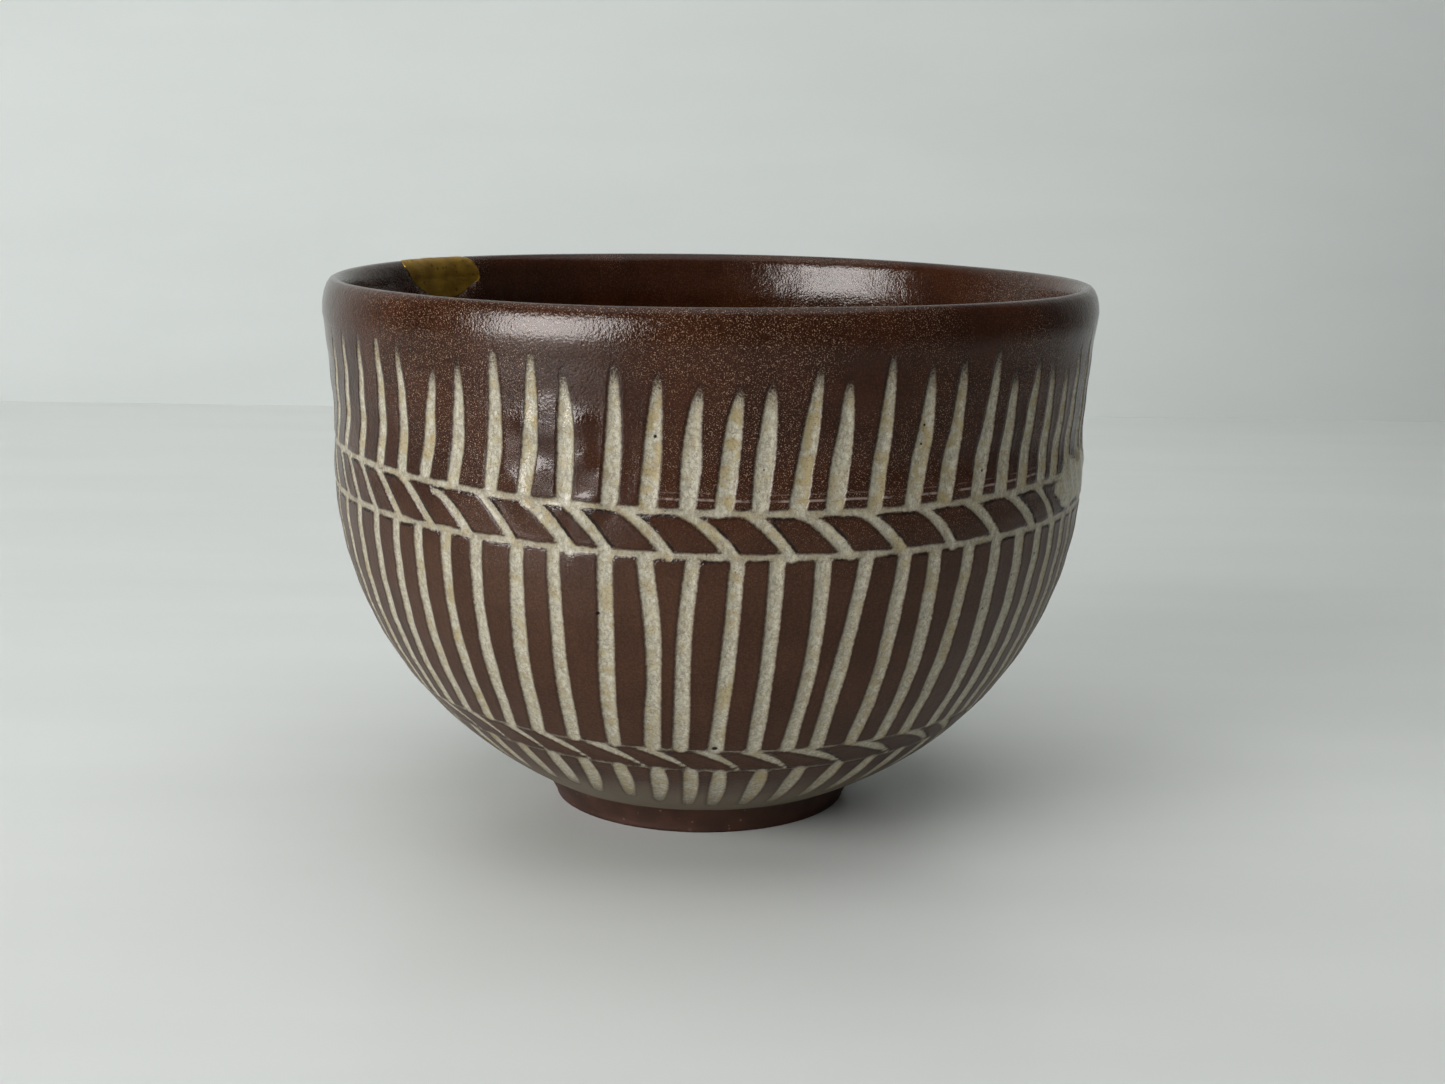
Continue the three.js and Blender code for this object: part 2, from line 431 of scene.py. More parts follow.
def drawLower(drawing):
    # from a round top against the lowest line down to a round faded end by the foot
    def one(a):
        return a, a + chance.uniform(-1.5, 1.0), chance.uniform(6.2, 8.2)
    width = lowerStrokes["halfWidth"]
    for start, end, tipHeight in allRound(lowerStrokes, one):
        top = bandHeight("ankleBottom", start) - 0.6
        drop = tipHeight + 0.7 * width - top
        points = [(start + share ** 2 * (end - start), top + share * drop) for share in (0, 0.3, 0.65, 1)]
        widths = width * np.array([0.85, 1.0, 0.88, 0.62]) * chance.uniform(0.92, 1.08, 4)
        drawing.stroke(points, widths, chance.uniform(0.2, 0.6), (1, 1, 0.9, 0.4))


# lumps of slip that the carver left on the shoulder band
lumps = [  # azimuth, height, half the width, half the height, how proud, and the count of its folds
    (65.2, 54.0, 6.2, 3.6, 0.48, 1.7), (73.0, 54.2, 5.6, 3.7, 0.4, 1.2), (79.3, 55.0, 1.3, 1.9, 0.3, 0.4),
]


def lumpShape(azimuth, height):
    # the highest of some soft humps, each folded by a cosine across it that bends as it goes up
    # with it comes the distance into the nearest lump from its edge
    most = np.zeros_like(height)
    edge = np.full(height.shape, noSlip)
    for place, level, halfWidth, halfHeight, proud, folds in lumps:
        x = turned(azimuth, place) * np.radians(1) * bowl["bellyRadius"] / halfWidth
        y = (height - level) / halfHeight
        uneven = 1 + 0.06 * np.sin(5 * np.arctan2(y, x) + folds) + 0.04 * np.sin(9 * np.arctan2(y, x))
        away = np.hypot(x, y) * uneven
        edge = np.maximum(edge, (1 - away) * min(halfWidth, halfHeight))
        hump = np.sqrt(np.clip(1 - away ** 2, 0, 1))
        waves = 0.78 + 0.22 * np.cos(2 * np.pi * folds * x + 1.9 * y + 0.8 * np.sin(3.1 * y))
        most = np.maximum(most, proud * hump * waves)
    return most, edge


# the place broken out of the rim, from which the gold lacquer also takes its shape
chip = {
    "turn": 123.8,
    "halfWidth": 9.75,
    "depth": 5.75,
    "reach": 3.5,
    "sink": 0.6,
    "setIn": 0.7,
    "lean": 25.0,
    "corners": [  # direction, spread and swell
        (-160.0, 38.0, -0.17), (-85.0, 25.0, 0.05), (60.0, 20.0, 0.03), (168.0, 13.0, 0.1),
    ],
}
chipLevel = bowl["height"] - chip["sink"]
chipPlace = innerLip - chip["setIn"]


def chipSwell(local):
    # the break's outline is uneven: one plus a bell for each corner, by the direction in the scoop's frame
    angle = np.degrees(np.arctan2(local[..., 2], local[..., 0]))
    return 1 + sum(swell * bell(turned(angle, way), 0, spread) for way, spread, swell in chip["corners"])


def chipFrame(inset):
    # the scoop's turn and lean in radians, and half its sizes
    half = np.array([chip["halfWidth"], chip["reach"], chip["depth"]]) - inset
    return np.radians(chip["turn"]), np.radians(chip["lean"]), half


def rotated(x, y, angle):
    # a place in a plane turned by the angle: cos x - sin y, sin x + cos y
    return np.cos(angle) * x - np.sin(angle) * y, np.sin(angle) * x + np.cos(angle) * y


def toChip(points, inset=0.0):
    # turns and moves points into the scoop's own frame, in which its surface is the unit ball
    turn, lean, half = chipFrame(inset)
    x, y, z = np.moveaxis(points, -1, 0)
    across, outward = rotated(x, y, turn)
    along, over = rotated(across, z - chipLevel, -lean)
    local = np.stack([along, outward + chipPlace, over], -1) / half
    return local / chipSwell(local)[..., None]


def fromChip(local, inset=0.0):
    # the way back from the scoop's frame to the bowl's
    turn, lean, half = chipFrame(inset)
    along, outward, over = np.moveaxis(local * chipSwell(local)[..., None] * half, -1, 0)
    across, up = rotated(along, over, lean)
    x, y = rotated(across, outward - chipPlace, -turn)
    return np.stack([x, y, up + chipLevel], -1)


def rowsInside(size):
    # which points are inside the scoop, and the first and last such row of each column
    inside = size < 1
    return inside, np.argmax(inside, 0), len(size) - 1 - np.argmax(inside[::-1], 0)


def layAlongChip(points):
    # In each column the rows inside the scoop are spread between the two crossings A and B, and
    # pushed from the scoop's centre out to its surface: P = L / |L| in the scoop's own frame.
    size = np.linalg.norm(toChip(points), axis=-1)
    inside, first, last = rowsInside(size)
    rows = np.arange(len(points))[:, None]
    struck = inside.any(0)
    columns = np.arange(points.shape[1])

    def crossing(outer, inner):
        far, near = size[outer, columns], size[inner, columns]
        t = np.where(struck, (far - 1) / np.maximum(far - near, 1e-6), 0)[:, None]
        return points[outer, columns] + (points[inner, columns] - points[outer, columns]) * t

    a = crossing(np.maximum(first - 1, 0), first)
    b = crossing(np.minimum(last + 1, len(points) - 1), last)
    t = np.clip((rows - first + 1) / np.maximum(last - first + 2, 1), 0, 1)[..., None]
    chord = toChip(a + (b - a) * t)
    laid = fromChip(chord / np.linalg.norm(chord, axis=-1, keepdims=True))
    moved = np.where((inside & struck)[..., None], laid, points)
    moved[np.maximum(first - 1, 0)[struck], columns[struck]] = a[struck]
    moved[np.minimum(last + 1, len(points) - 1)[struck], columns[struck]] = b[struck]
    return moved, inside & struck


def gridFaces(rows, columns, start):
    # four corners for each place on a grid that closes on itself round the columns
    i = np.arange(rows - 1)[:, None] * columns
    j = np.arange(columns)[None, :]
    k = (j + 1) % columns
    return (np.stack([i + j, i + k, i + columns + k, i + columns + j], -1) + start).reshape(-1, 4)


def newObject(name, data):
    made = bpy.data.objects.new(name, data)
    bpy.context.scene.collection.objects.link(made)
    return made


def closedMesh(name, firstPole, grid, lastPole):
    # a grid of points with a single point at each end, and its faces turned outwards
    rows, columns = grid.shape[:2]
    points = np.vstack([firstPole, grid.reshape(-1, 3), lastPole]) / metre
    quads = gridFaces(rows, columns, 1)
    j = np.arange(columns)
    k = (j + 1) % columns
    lastRow = 1 + (rows - 1) * columns
    firstFan = np.stack([np.zeros_like(j), k + 1, j + 1], -1)
    lastFan = np.stack([np.full_like(j, len(points) - 1), lastRow + j, lastRow + k], -1)
    fans = np.vstack([firstFan, lastFan])
    # six times the volume, from every triangle's corners: the sum of a . (b x c)
    corners = points[np.vstack([quads[:, :3], quads[:, [0, 2, 3]], fans])]
    volume = np.einsum("ij,ij->i", corners[:, 0], np.cross(corners[:, 1], corners[:, 2])).sum()
    if volume < 0:
        quads, fans = quads[:, ::-1], fans[:, ::-1]
    mesh = bpy.data.meshes.new(name)
    mesh.from_pydata(points.tolist(), [], quads.tolist() + fans.tolist())
    mesh.polygons.foreach_set("use_smooth", np.ones(len(mesh.polygons), bool))
    mesh.update()
    print(name, "has", len(points), "points and", 2 * len(quads) + len(fans), "triangles")
    return newObject(name, mesh)


def storeValues(piece, name, parts):
    # one number for each point of the mesh, in the order that closedMesh gives them
    layer = piece.data.attributes.new(name, "FLOAT", "POINT")
    layer.data.foreach_set("value", np.concatenate(parts).astype(np.float32))


# how the drawing lies in the wall: slip sinks in softly between small burrs of clay
relief = {
    "recess": 0.2,
    "soft": 0.6,
    "burr": 0.06,
    "burrPlace": -0.25,
    "burrSpread": 0.3,
    "lumpMargin": -0.6,   # the slip round a lump is whole as far out as this
}
# azimuths between which thin lines were scored, and a height above the band for the rest
scored = {"from": -7.2, "to": 54.6, "elsewhere": 9.0}


def drawAll(azimuth, wallZ):
    # every stroke and line on the wall
    drawing = Drawing(azimuth, wallZ)
    drawUpper(drawing)
    drawMiddle(drawing)
    drawLower(drawing)
    drawLeaves(drawing, shoulderLeaves, "shoulderTop", "shoulderBottom", 0.5, 1.0)
    drawLeaves(drawing, ankleLeaves, "ankleTop", "ankleBottom", 0.5, 0.6)
    # how much painted shade the lines of each band get
    for band, creviceShading in (("shoulder", 0.8), ("ankle", 0.3)):
        for side in ("Top", "Bottom"):
            drawing.ring(bandHeight(band + side, azimuth), bands[band + "Line"], 0.25, creviceShading)
    print("strokes drawn")
    return drawing


def makeBowl():
    # a surface of revolution: the section's points carried round the axis, with the drawing pressed in
    columns = bowl["columns"]
    azimuth = np.arange(columns) * 360 / columns - 180
    wallZ = outsideRows(azimuth)
    drawing = drawAll(azimuth, wallZ)
    hump, lumpEdge = lumpShape(azimuth, wallZ)
    margin = relief["lumpMargin"]
    # painted shade all round the edge of each lump
    drawing.creviceShade = np.where(lumpEdge > np.maximum(drawing.edge, margin), 1.0, drawing.creviceShade)
    drawing.edge = np.maximum(drawing.edge, lumpEdge)
    drawing.cover = np.where(lumpEdge > margin, 1.0, drawing.cover)
    wasScored = (azimuth > scored["from"]) & (azimuth < scored["to"])
    aboveBand = np.where(wasScored, wallZ - bandHeight("shoulderTop", azimuth), scored["elsewhere"])

    into = smoothStep(fraction(drawing.edge, 0, relief["soft"]))
    pressed = relief["recess"] * into * drawing.cover * (lumpEdge <= 0)
    burr = relief["burr"] * bell(drawing.edge, relief["burrPlace"], relief["burrSpread"]) * drawing.cover
    wallR = outsideRadius(wallZ, wallTop(azimuth)) - pressed + burr + hump

    footR, footZ = footSection()
    lipR, lipZ = lipSection(bowl["lipRows"], azimuth)
    inR, inZ = insideSection(bowl["flareRows"], bowl["insideRows"])
    level = np.ones(columns)
    r = np.vstack([footR[1:, None] * level, wallR, lipR, inR[:-1, None] * level])
    z = np.vstack([footZ[1:, None] * level, wallZ, lipZ, inZ[:-1, None] * level])

    turn = np.radians(azimuth)
    start, full, fading, end = bowl["ringHeights"]
    rings = np.sin(2 * np.pi * z / bowl["ringPitch"] + 1.3 * np.sin(turn)) * bowl["ringDepth"]
    rings = rings * fraction(z, start, full) * fraction(z, end, fading)
    sway = bowl["ovalness"] * np.sin(turn) + bowl["lobes"] * np.sin(3 * turn + 0.8)
    r = r + np.clip(z / bowl["height"], 0, 1) * sway + rings
    waver = bowl["rimWaver"] * (np.sin(2 * turn + 0.6) + 0.5 * np.sin(5 * turn) - 0.9)
    z = z + fraction(z, *bowl["waverHeights"]) ** 2 * waver
    grid = around(r, z, turn)
    shifted = fraction(z, bowl["footHeight"] + bowl["shiftFade"], bowl["footHeight"])
    shifted = shifted * (np.arange(len(z)) < len(z) / 2)[:, None]   # outside only
    grid[..., :2] += (shifted ** 2)[..., None] * np.array(bowl["footShift"])
    grid[..., 1] -= bowl["footLean"] * fraction(z, bowl["footRecess"], 0)

    upperStart = len(footR) - 1 + len(wallZ) - bowl["chipRows"]
    grid[upperStart:], broken = layAlongChip(grid[upperStart:])
    piece = closedMesh("bowl_body_glazed", (*bowl["footShift"], footZ[0]), grid, (0, 0, inZ[-1]))

    # faces of the break are flat, so its edge is sharp and the glaze round it keeps its shading
    faces = gridFaces(len(broken), columns, 0)
    smooth = np.ones(len(piece.data.polygons), bool)
    smooth[upperStart * columns:][:len(faces)] = ~broken.ravel()[faces].any(1)
    piece.data.polygons.foreach_set("use_smooth", smooth)

    # each value is known on the wall and has a fixed one before it, on the foot, and after it
    before, after = (len(footR) - 1) * columns + 1, (len(lipR) + len(inR) - 1) * columns + 1
    for name, values, foot, lip in (
            ("slipEdge", drawing.edge, noSlip, noSlip), ("slipTone", drawing.tone, 0, 0),
            ("slipCover", drawing.cover, 1, 1), ("creviceShade", drawing.creviceShade, 0, 0),
            ("aboveBand", aboveBand, scored["elsewhere"], scored["elsewhere"]),
            ("outside", np.ones_like(wallZ), 1, 0)):
        storeValues(piece, name, [np.full(before, foot), values.ravel(), np.full(after, lip)])
    return piece


# the lacquer that fills the broken place, laid on a little proud and past its edge
lacquer = {
    "columns": 90,
    "skinRows": 26,
    "overlap": 0.42,
    "backGap": 0.1,
    "proud": 0.1,
    "lift": 0.03,
    "sectionLow": 67.0,    # the section that is searched for the break starts here outside,
    "sectionSteps": 300,   # goes over the lip in this many steps
    "insideSteps": 240,    # and ends this many steps down the inside
    "searched": 20.0,      # degrees to each side of the break's middle
}


def makeLacquer():
    # For each azimuth a closed loop: the skin runs along the wall's section between the scoop's two
    # crossings, raised as 1 - |2v - 1| ^ 4, and the back returns along the scoop, a little inside it.
    middle, steps = -chip["turn"], lacquer["sectionSteps"]
    top = wallTop(middle)
    lipR, lipZ = lipSection(steps, np.array([middle]))
    inR, inZ = (values[:lacquer["insideSteps"]] for values in insideSection(steps, 2))
    lowZ = np.linspace(lacquer["sectionLow"], top, 200)[:-1]
    sectionR = np.concatenate([outsideRadius(lowZ, top), lipR[:, 0], inR])
    sectionZ = np.concatenate([lowZ, lipZ[:, 0], inZ])

    def reachOf(azimuth):
        turn = np.radians(azimuth)
        points = around(sectionR[:, None], sectionZ[:, None] * np.ones_like(turn), turn)
        return points, np.linalg.norm(toChip(points, -lacquer["overlap"]), axis=-1)

    fine = np.linspace(middle - lacquer["searched"], middle + lacquer["searched"], 4001)
    met = fine[(reachOf(fine)[1] < 1).any(0)]
    u = np.cos(np.linspace(np.pi, 0, lacquer["columns"] + 2))[1:-1]
    azimuth = (met[0] + met[-1]) / 2 + (met[-1] - met[0]) / 2 * u
    points, size = reachOf(azimuth)
    _, first, last = rowsInside(size)
    columns = np.arange(len(azimuth))
    v = np.linspace(0, 1, lacquer["skinRows"])[:, None]
    place = first + (last - first) * v
    low = np.floor(place).astype(int)
    part = (place - low)[..., None]
    above = np.minimum(low + 1, len(points) - 1)
    skin = points[low, columns] * (1 - part) + points[above, columns] * part
    tangentR = np.gradient(sectionR)
    tangentZ = np.gradient(sectionZ)
    length = np.hypot(tangentR, tangentZ)
    normal = around((tangentZ / length)[low], (-tangentR / length)[low], np.radians(azimuth))
    dome = (1 - np.abs(2 * v - 1) ** 4) * (1 - np.abs(u) ** 6)
    ripple = 1 + 0.25 * np.sin(9 * u + 4 * v) + 0.15 * np.sin(17 * u - 6 * v)
    skin = skin + normal * (lacquer["lift"] + lacquer["proud"] * dome * ripple)[..., None]

    back = skin[0] + (skin[-1] - skin[0]) * v[::-1][..., None]
    chord = toChip(back, lacquer["backGap"])
    reach = np.maximum(np.linalg.norm(chord, axis=-1, keepdims=True), 1e-6)
    back = fromChip(chord / reach, lacquer["backGap"])
    grid = np.swapaxes(np.vstack([skin, back[1:-1]]), 0, 1)
    return closedMesh("gold_lacquer", grid[0].mean(0), grid, grid[-1].mean(0))


# Node helpers. A link's value is a socket, or else a number or colour for that input, and a
# new node goes into the tree of the first socket among its links.
def isSocket(value):
    return isinstance(value, bpy.types.NodeSocket)


def join(made, links):
    for name, value in links.items():
        if isSocket(value):
            made.id_data.links.new(value, made.inputs[name])
        else:
            made.inputs[name].default_value = value


def put(kind, links, tree=None, **settings):
    tree = tree or next(value.id_data for value in links.values() if isSocket(value))
    made = tree.nodes.new("ShaderNode" + kind)
    for name, value in settings.items():
        setattr(made, name, value)
    join(made, links)
    return made


def calc(operation, first, second=0.0):
    return put("Math", {0: first, 1: second}, operation=operation).outputs[0]


def times(first, second):
    return calc("MULTIPLY", first, second)


def plus(first, second):
    return calc("ADD", first, second)


def apart(value, level):
    # how far the value is from the level
    return calc("ABSOLUTE", calc("SUBTRACT", value, level))


def distance(where, place):
    return put("VectorMath", {0: where, 1: place}, operation="DISTANCE").outputs["Value"]


def ramp(value, low, high, fromValue=0.0, toValue=1.0):
    # a smooth step from one value to another while the input goes from low to high
    links = {"Value": value, "From Min": low, "From Max": high, "To Min": fromValue, "To Max": toValue}
    return put("MapRange", links, interpolation_type="SMOOTHSTEP").outputs[0]


def blend(factor, first, second, mode="MIX"):
    made = put("Mix", {0: factor, 6: first, 7: second}, data_type="RGBA", blend_type=mode)
    return made.outputs[2]


def tint(colour, other, mask, share):
    # the other colour laid over the first by a share of the mask
    return blend(times(mask, share), colour, other)


def cloud(where, size, detail=2.0, rough=0.5):
    # noise whose lumps are about size millimetres across
    links = {"Vector": where, "Scale": 1 / size, "Detail": detail, "Roughness": rough}
    return put("TexNoise", links).outputs["Fac"]


def noisy(value, where, size, amount, detail=2.0):
    # the value plus noise from minus to plus half the amount
    noise = calc("SUBTRACT", cloud(where, size, detail), 0.5)
    return plus(value, times(noise, amount))


def stretched(where, scale):
    return put("Mapping", {"Vector": where, "Scale": scale}).outputs[0]


def millimetres(tree):
    return stretched(put("TexCoord", {}, tree).outputs["Object"], (metre,) * 3)


def bumped(height):
    # the normal of a surface raised by the height, which is in millimetres
    return put("Bump", {"Height": height, "Strength": 1.0, "Distance": 1 / metre}).outputs[0]


def newGroup(name, numbers, outputs):
    # a node group that takes a place and some numbers and gives some values
    group = bpy.data.node_groups.new(name, "ShaderNodeTree")
    group.interface.new_socket("Where", in_out="INPUT", socket_type="NodeSocketVector")
    for number, value in numbers.items():
        socket = group.interface.new_socket(number, in_out="INPUT", socket_type="NodeSocketFloat")
        socket.default_value = value
    for output in outputs:
        group.interface.new_socket(output, in_out="OUTPUT", socket_type="NodeSocketFloat")
    return group, group.nodes.new("NodeGroupInput"), group.nodes.new("NodeGroupOutput")


def makeSpecks():
    # round specks: one in each cell of a Voronoi pattern, as large as a random part of the given size
    group, given, out = newGroup("specks", {"Spacing": 1.0, "Size": 0.2, "Share": 0.5}, ("Mask",))
    scale = calc("DIVIDE", 1.0, given.outputs["Spacing"])
    cells = put("TexVoronoi", {"Vector": given.outputs["Where"], "Scale": scale}, feature="F1")
    dice = put("SeparateColor", {0: cells.outputs["Color"]})
    width = times(times(dice.outputs[0], given.outputs["Size"]), scale)
    dot = ramp(calc("SUBTRACT", width, cells.outputs["Distance"]), 0.0, 0.06)
    chosen = calc("LESS_THAN", dice.outputs[1], given.outputs["Share"])
    group.links.new(times(dot, chosen), out.inputs["Mask"])
    return group


def makeMottle():
    # slow clouds and fine grain
    group, given, out = newGroup("mottle", {"Cloud Size": 8.0, "Grain Size": 0.4}, ("Cloud", "Grain"))
    for name, detail, low in (("Cloud", 3.0, 0.3), ("Grain", 2.0, 0.25)):
        scale = calc("DIVIDE", 1.0, given.outputs[name + " Size"])
        noise = put("TexNoise", {"Vector": given.outputs["Where"], "Detail": detail, "Scale": scale})
        group.links.new(ramp(noise.outputs["Fac"], low, 1 - low), out.inputs[name])
    return group


specksGroup = makeSpecks()
mottleGroup = makeMottle()


def specks(where, spacing, size, share):
    links = {"Where": where, "Spacing": spacing, "Size": size, "Share": share}
    return put("Group", links, node_tree=specksGroup).outputs["Mask"]


def mottle(where, cloudSize, grainSize):
    links = {"Where": where, "Cloud Size": cloudSize, "Grain Size": grainSize}
    return put("Group", links, node_tree=mottleGroup).outputs


def newMaterial(name):
    material = bpy.data.materials.new(name)
    material.use_nodes = True
    return material, material.node_tree, material.node_tree.nodes["Principled BSDF"]


def attribute(tree, name):
    return put("Attribute", {}, tree, attribute_name=name, attribute_type="GEOMETRY").outputs["Fac"]


glaze = {
    "upper": (0.040, 0.0118, 0.0043, 1),
    "upperDark": (0.025, 0.0074, 0.0027, 1),
    "lower": (0.056, 0.0222, 0.0104, 1),
    "lowerDark": (0.041, 0.0155, 0.0067, 1),
    # pale specks of the glaze, partly real and partly painted glints of its sparkle
    "speckAndGlint": (0.26, 0.165, 0.11, 1),
    "film": (0.168, 0.140, 0.100, 1),
    "scored": (0.34, 0.26, 0.23, 1),
    # near black: pooled glaze and pinholes, and the painted shade of the crevice lines
    "poolAndShade": (0.010, 0.005, 0.003, 1),
    "shine": 0.2,
    "shineTint": (1.0, 0.96, 0.94, 1),
    "roughBelly": 0.375,
    "roughRim": 0.135,
    "swell": 0.07,         # how much its clouds swell: in general, round the upper strokes
    "swellInBand": 0.11,
    "swellInside": 0.13,   # and inside the upper wall
    "crackDepth": 0.15,
}
slip = {
    "cream": (0.505, 0.472, 0.372, 1),
    "grey": (0.335, 0.31, 0.245, 1),
    "ochre": (0.36, 0.295, 0.165, 1),
    "thin": (0.19, 0.15, 0.10, 1),
    "stain": (0.14, 0.09, 0.05, 1),
    "rough": 0.08,
    "depth": 0.12,
}
clay = {
    "base": (0.056, 0.0215, 0.0125, 1),
    "dark": (0.032, 0.0125, 0.0072, 1),
    "grit": (0.20, 0.14, 0.10, 1),
    "rough": 0.55,
    "rubbed": (-2.4, -23.4, 0.2),   # a place on the foot's lower edge in front
}
# the pale film near the foot: the heights where it starts and is full, and how strong it is
film = {"from": 13.5, "full": 6.5, "onGlaze": 0.8, "onSlip": 0.22, "rough": 0.2}
# holes in the glaze: azimuth, height and radius
pits = [
    (1.8, 19.7, 0.55), (49.0, 42.9, 0.3), (43.6, 38.8, 0.25), (54.5, 45.2, 0.3), (55.6, 39.2, 0.3),
    (59.2, 39.2, 0.25), (54.6, 32.9, 0.25), (55.2, 26.7, 0.3), (37.2, 27.0, 0.25), (44.7, 24.0, 0.25),
    (-14.7, 40.8, 0.32), (-6.8, 64.7, 0.3), (7.2, 60.5, 0.25), (29.3, 65.7, 0.25), (29.0, 63.2, 0.22),
    (140.0, 34.2, 0.3), (-150.0, 62.2, 0.3), (-108.0, 29.2, 0.3),
]
# a place at the front left where the glaze ran together unevenly
glazePool = {
    "centre": (-20.0, -53.6, 60.2),
    "outer": 10.5,
    "inner": 5.5,
    "depth": 0.9,
    "size": 4.2,
    "gloss": 0.07,
}


def pitMask(where):
    # the largest of one soft ball for each pit
    mask = 0.0
    for azimuth, height, radius in pits:
        centre = around(outsideRadius(np.array(height)), height, np.radians(azimuth)).tolist()
        gap = distance(where, centre)
        mask = calc("MAXIMUM", mask, ramp(gap, radius, 0.5 * radius))
    return mask


def glazeColour(where, height):
    # redder and darker towards the rim, greyer in the belly, with fine light specks that are partly real
    # and partly painted glints
    patches = mottle(where, 9.0, 0.35)
    upper = blend(patches["Cloud"], glaze["upperDark"], glaze["upper"])
    lower = blend(patches["Cloud"], glaze["lowerDark"], glaze["lower"])
    high = ramp(noisy(height, where, 14.0, 12.0), 43.0, 61.0)
    colour = blend(high, lower, upper)
    grain = ramp(patches["Grain"], 0.0, 1.0, 0.8, 1.22)
    colour = blend(1.0, colour, grain, "MULTIPLY")
    # the specks and painted glints crowd higher on the wall, in slow patches
    speckAndGlintCrowding = plus(0.12, times(high, ramp(cloud(where, 22.0), 0.36, 0.58)))
    fine = times(ramp(cloud(where, 0.15, 0.0), 0.6, 0.8), speckAndGlintCrowding)
    return tint(colour, glaze["speckAndGlint"], fine, 0.9)


def slipColour(where, tone, edge):
    # cream with fine grey mottling and ochre patches, thin at its edges, with brown crackle,
    # dirt and a few pinholes
    streaks = stretched(where, (1.0, 1.0, 0.6))
    mottled = ramp(cloud(streaks, 0.45, 3.0, 0.65), 0.38, 0.62)
    colour = blend(mottled, slip["cream"], slip["grey"])
    patches = ramp(cloud(where, 2.0), 0.36, 0.68)
    warmth = times(plus(tone, 0.3), patches)
    colour = blend(ramp(warmth, 0.05, 0.95), colour, slip["ochre"])
    colour = tint(colour, slip["thin"], ramp(edge, 0.5, 0.05), 0.5)
    bend = put("TexNoise", {"Vector": where, "Scale": 1.3}).outputs["Color"]
    bent = put("VectorMath", {0: where, 1: bend}, operation="ADD").outputs[0]
    cells = put("TexVoronoi", {"Vector": bent, "Scale": 1.05}, feature="DISTANCE_TO_EDGE")
    lines = ramp(cells.outputs["Distance"], 0.1, 0.02)
    broken = times(lines, ramp(cloud(where, 1.7), 0.36, 0.54))
    colour = tint(colour, slip["stain"], broken, 0.34)
    dirt = ramp(cloud(where, 0.3, 2.0, 0.7), 0.55, 0.7)
    colour = tint(colour, slip["stain"], dirt, 0.6)
    return tint(colour, glaze["poolAndShade"], specks(where, 2.3, 0.3, 0.3), 0.8)


def clayColour(where):
    # turned red-brown clay: dark clouds, pale grit and the rubbed place
    patches = mottle(where, 5.0, 0.5)
    colour = blend(patches["Cloud"], clay["dark"], clay["base"])
    near = ramp(distance(where, clay["rubbed"]), 1.3, 0.5)
    rubbed = times(near, ramp(cloud(where, 0.5), 0.42, 0.6))
    pale = calc("MAXIMUM", specks(where, 0.8, 0.22, 0.3), rubbed)
    return tint(colour, clay["grit"], pale, 0.5)


def scoredLines(tree, where):
    # a light line and a fainter one above the shoulder band, broken by noise
    level = noisy(attribute(tree, "aboveBand"), where, 9.0, 0.5)
    worn = ramp(cloud(where, 1.6), 0.36, 0.56)
    first = times(ramp(apart(level, 1.75), 0.24, 0.06), 0.65)
    second = times(ramp(apart(level, 2.6), 0.13, 0.03), 0.2)
    return times(plus(first, second), worn)


